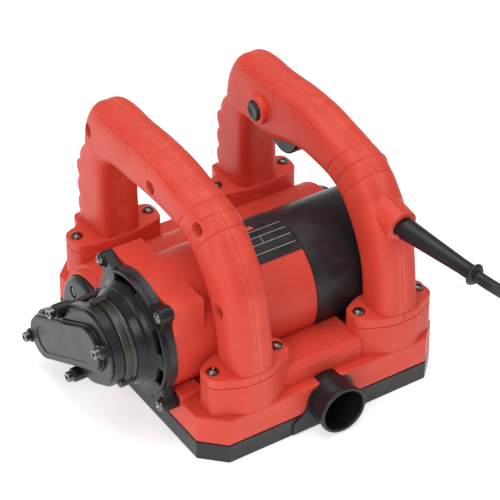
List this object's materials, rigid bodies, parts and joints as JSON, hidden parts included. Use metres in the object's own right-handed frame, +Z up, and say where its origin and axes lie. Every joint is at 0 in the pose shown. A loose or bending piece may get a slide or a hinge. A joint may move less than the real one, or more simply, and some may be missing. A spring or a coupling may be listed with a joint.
{
  "type": "wall chaser",
  "caption": "Two-handled wall chaser with a belt-driven cutting drum in a flat base, a motor lying across it, a trigger and lock button, a dust port and a coiled mains cable.",
  "frame": {"origin": "centre of the flat underside of the sole, halfway between the base's sides", "axes": "+X along the motor from the gear end to the tail, -Y towards the dust port and the cable, +Z up from the sole"},
  "size_m": [0.4878, 0.3968, 0.21],
  "materials": {
    "red_plastic": "satin moulded ABS with fine grain",
    "black_plastic": "satin moulded",
    "gear_housing_plastic": "satin glass-filled nylon",
    "black_rubber": "matt",
    "cast_aluminium": "raw casting, turned edge",
    "drum_metal": "machined",
    "dark_screws": "dark nickel",
    "laminations": "varnished laminations",
    "bright_steel": "ground",
    "copper": "turned copper",
    "carbon": "pressed carbon",
    "label_film": "semi-gloss film"
  },
  "bodies": {
    "housing": {"base_housing": "red_plastic", "sole_plate": "black_plastic", "dust_port": "black_plastic", "motor_housing": "red_plastic", "motor_tail_cover": "black_plastic", "stator": "laminations", "brush_bracket": "black_plastic", "upper_carbon_brush": "carbon", "lower_carbon_brush": "carbon", "motor_rear_bearing": "bright_steel", "soft_start_module": "black_plastic", "end_flange": "gear_housing_plastic", "bearing_ring": "cast_aluminium", "motor_front_bearing": "bright_steel", "gear_case": "gear_housing_plastic", "gear_cover": "gear_housing_plastic", "cover_rear_screw": "dark_screws", "cover_upper_screw": "dark_screws", "cover_front_screw": "dark_screws", "cover_lower_screw": "dark_screws", "timing_belt": "black_rubber", "drum_left_bearing": "bright_steel", "drum_right_bearing": "bright_steel", "drum_left_cap": "black_plastic", "drum_right_cap": "black_plastic", "cap_screw_1": "dark_screws", "cap_screw_2": "dark_screws", "left_handle_outer_shell": "red_plastic", "left_handle_inner_shell": "red_plastic", "right_handle_outer_shell": "red_plastic", "right_handle_inner_shell": "red_plastic", "left_front_inner_screw": "dark_screws", "left_front_outer_screw": "dark_screws", "left_rear_inner_screw": "dark_screws", "left_rear_outer_screw": "dark_screws", "right_front_inner_screw": "dark_screws", "right_front_outer_screw": "dark_screws", "right_rear_inner_screw": "dark_screws", "right_rear_outer_screw": "dark_screws", "trigger_pin": "bright_steel", "switch_body": "black_plastic", "cable_guard": "black_rubber", "supply_cable": "black_rubber", "cable_coil": "black_rubber", "mains_plug": "black_rubber", "rating_plate": "label_film", "flange_screw_1": "dark_screws", "flange_screw_2": "dark_screws", "flange_screw_3": "dark_screws"},
    "armature": {"armature_shaft": "bright_steel", "armature_core": "laminations", "commutator": "copper", "cooling_fan": "black_plastic", "drive_pulley": "bright_steel"},
    "drum": {"cutter_drum": "drum_metal", "drum_shaft": "bright_steel", "driven_pulley": "bright_steel"},
    "trigger": {"trigger": "black_plastic"},
    "lock_button": {"lock_button": "black_plastic"}
  },
  "joints": [
    {"name": "drum_spin", "type": "hinge", "parent": "housing", "child": "drum", "pos_m": [0, 0.045, 0.0385], "axis": [1, 0, 0], "continuous": true},
    {"name": "armature_spin", "type": "hinge", "parent": "housing", "child": "armature", "pos_m": [0, -0.0365, 0.082], "axis": [1, 0, 0], "continuous": true},
    {"name": "trigger_pull", "type": "hinge", "parent": "housing", "child": "trigger", "pos_m": [0.071, 0.069, 0.1775], "axis": [-1, 0, 0], "range_deg": [0, 8], "stiffness_Nm_per_rad": 0.8, "springref_deg": -11.46},
    {"name": "lock_button_press", "type": "slide", "parent": "housing", "child": "lock_button", "axis": [1, 0, 0], "range_m": [0, 0.003], "stiffness_N_per_m": 300, "springref_m": -0.003}
  ],
  "couplings": [
    {"joint": "armature_spin", "follows": "drum_spin", "ratio": 1.2727}
  ]
}
